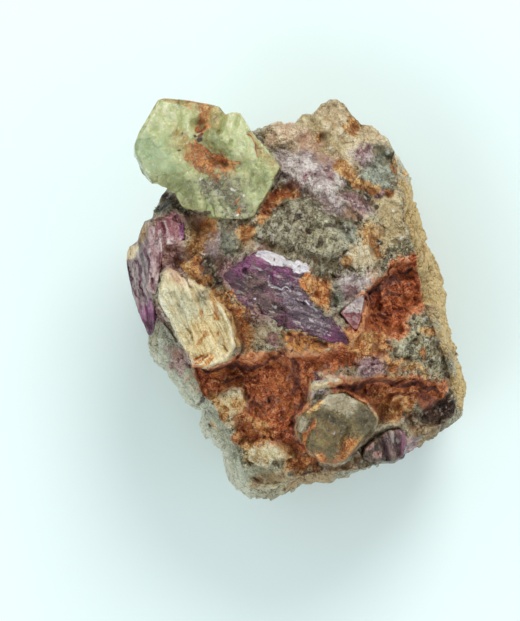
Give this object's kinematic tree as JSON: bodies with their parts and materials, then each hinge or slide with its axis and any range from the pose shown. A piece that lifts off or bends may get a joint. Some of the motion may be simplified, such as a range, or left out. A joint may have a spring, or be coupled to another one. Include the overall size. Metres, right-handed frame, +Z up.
{
  "type": "mineral specimen",
  "caption": "Hand specimen of rhodizite: a pale green crystal on broken, rust-stained pegmatite rock with purple tourmaline, cream feldspar and a glassy crystal.",
  "frame": {"origin": "middle of the specimen's bounding box at the flat underside it rests on", "axes": "+Z up out of the crystal face, +Y towards the ragged top edge, +X towards the tan flank on the right"},
  "size_m": [0.0314, 0.037, 0.0215],
  "materials": {
    "matrix": "rough, iron-stained",
    "rhodizite_crystal": "waxy to glassy",
    "purple_tourmaline": "glassy",
    "pink_tourmaline": "glassy",
    "left_tourmaline": "striated, dull",
    "feldspar_blade": "pearly",
    "glassy_crystal": "glassy",
    "lower_tourmaline": "fibrous"
  },
  "bodies": {
    "root": {"matrix": "matrix", "rhodizite_crystal": "rhodizite_crystal", "purple_tourmaline": "purple_tourmaline", "pink_tourmaline": "pink_tourmaline", "left_tourmaline": "left_tourmaline", "feldspar_blade": "feldspar_blade", "glassy_crystal": "glassy_crystal", "lower_tourmaline": "lower_tourmaline"}
  },
  "joints": []
}
